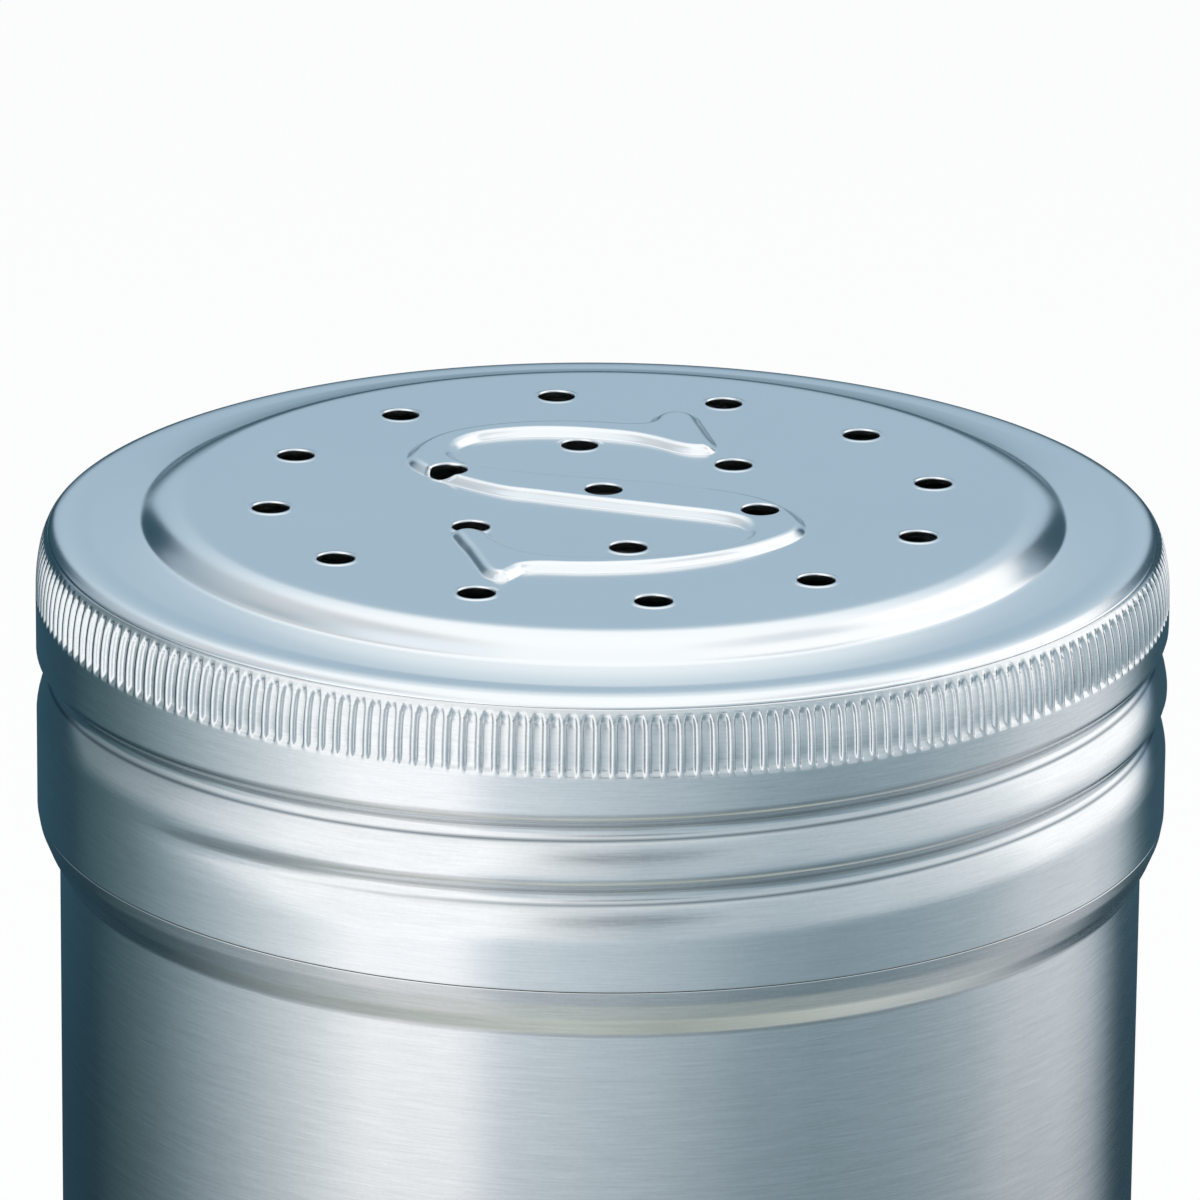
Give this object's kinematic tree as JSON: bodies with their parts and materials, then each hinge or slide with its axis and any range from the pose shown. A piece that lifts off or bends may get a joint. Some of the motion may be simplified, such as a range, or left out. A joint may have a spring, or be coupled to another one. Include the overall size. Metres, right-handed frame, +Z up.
{
  "type": "shaker can",
  "caption": "Round stainless-steel shaker can with a screw-on perforated cap, knurled grip band and a shoulder bead.",
  "frame": {"origin": "centre of the can's base, on the surface that it stands on", "axes": "+Z up along the can's axis; -Y is the front of the cap, from which the raised letter reads upright; +X is to its right"},
  "size_m": [0.076, 0.076, 0.1255],
  "materials": {
    "can_steel": "stainless steel, brushed round the can",
    "cap_steel": "stainless steel, satin top and lightly brushed skirt",
    "ring_silicone": "matt translucent white silicone"
  },
  "bodies": {
    "can": {"can_body": "can_steel"},
    "ring": {"sealing_ring": "ring_silicone"},
    "cap": {"shaker_cap": "cap_steel"}
  },
  "joints": [
    {"name": "cap_lift", "type": "slide", "parent": "can", "child": "ring", "axis": [0, 0, 1], "range_m": [0, 0.0078]},
    {"name": "cap_turn", "type": "hinge", "parent": "ring", "child": "cap", "pos_m": [0, 0, 0.115], "axis": [0, 0, 1], "range_deg": [0, 630]}
  ],
  "couplings": [
    {"joint": "cap_lift", "follows": "cap_turn", "m_per_rad": 0.00070028}
  ]
}
